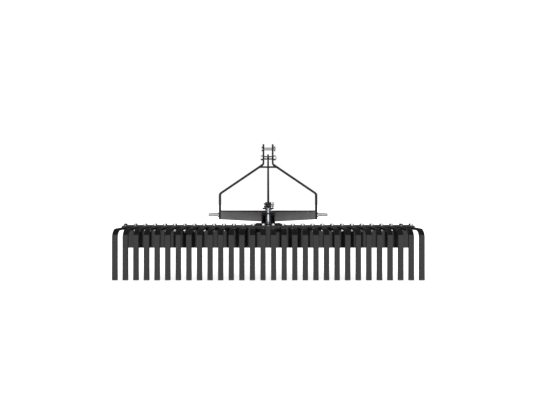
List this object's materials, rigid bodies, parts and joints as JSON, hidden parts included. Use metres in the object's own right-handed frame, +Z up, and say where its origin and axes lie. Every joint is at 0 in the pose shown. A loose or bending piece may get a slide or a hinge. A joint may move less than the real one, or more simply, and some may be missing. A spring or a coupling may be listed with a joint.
{
  "type": "tractor landscape rake",
  "caption": "Three-point hitch landscape rake: a row of bent flat tines bolted under an angle-iron toolbar that swivels on a king pin behind an A-frame.",
  "frame": {"origin": "on the ground plane, under the middle of the whole object", "axes": "+X along the toolbar to the right as seen from behind the tines, +Y forwards to the tractor, +Z up"},
  "size_m": [1.5, 0.848, 0.774],
  "materials": {
    "frame_paint": "black paint, half gloss",
    "plate_paint": "satin black paint",
    "tine_paint": "high-gloss black paint, on the tines and toolbar",
    "zinc_plate": "bright zinc plate",
    "bush_bronze": "oiled bronze"
  },
  "bodies": {
    "frame": {"crossbar": "plate_paint", "crossbar_top_gusset": "frame_paint", "tongue_tube": "frame_paint", "pivot_plate_upper": "frame_paint", "pivot_plate_lower": "frame_paint", "mast_strap_left": "frame_paint", "mast_strap_right": "frame_paint", "mast_spacer": "frame_paint", "brace_bar": "frame_paint", "brace_lugs": "frame_paint", "top_link_pin": "zinc_plate", "brace_bolt": "zinc_plate", "brace_bolt_spacers": "zinc_plate", "brace_lower_pin": "zinc_plate", "lower_hitch_pin_left": "zinc_plate", "lower_hitch_pin_right": "zinc_plate", "m20_nuts": "zinc_plate", "king_pin": "zinc_plate", "linch_pins": "zinc_plate", "index_guide": "bush_bronze"},
    "head": {"toolbar": "tine_paint", "index_sector": "frame_paint", "pivot_plate_head_lower": "frame_paint", "head_gussets": "frame_paint", "swivel_bushes": "bush_bronze", "tine_bolts": "zinc_plate", "tine_nuts": "zinc_plate", "head_bolts": "frame_paint", "tine_01": "tine_paint", "tine_02": "tine_paint", "tine_03": "tine_paint", "tine_04": "tine_paint", "tine_05": "tine_paint", "tine_06": "tine_paint", "tine_07": "tine_paint", "tine_08": "tine_paint", "tine_09": "tine_paint", "tine_10": "tine_paint", "tine_11": "tine_paint", "tine_12": "tine_paint", "tine_13": "tine_paint", "tine_14": "tine_paint", "tine_15": "tine_paint", "tine_16": "tine_paint", "tine_17": "tine_paint", "tine_18": "tine_paint", "tine_19": "tine_paint", "tine_20": "tine_paint", "tine_21": "tine_paint", "tine_22": "tine_paint", "tine_23": "tine_paint", "tine_24": "tine_paint", "tine_25": "tine_paint", "tine_26": "tine_paint", "tine_27": "tine_paint", "tine_28": "tine_paint", "tine_29": "tine_paint", "tine_30": "tine_paint"},
    "index_pin_body": {"index_pin": "zinc_plate", "index_pin_handle": "frame_paint"}
  },
  "joints": [
    {"name": "head_swivel", "type": "hinge", "parent": "frame", "child": "head", "pos_m": [0, -0.159, 0.246], "axis": [0, 0, 1], "range_deg": [-45, 45]},
    {"name": "index_pin_lift", "type": "slide", "parent": "frame", "child": "index_pin_body", "axis": [0, 0, 1], "range_m": [-0.02, 0]}
  ]
}
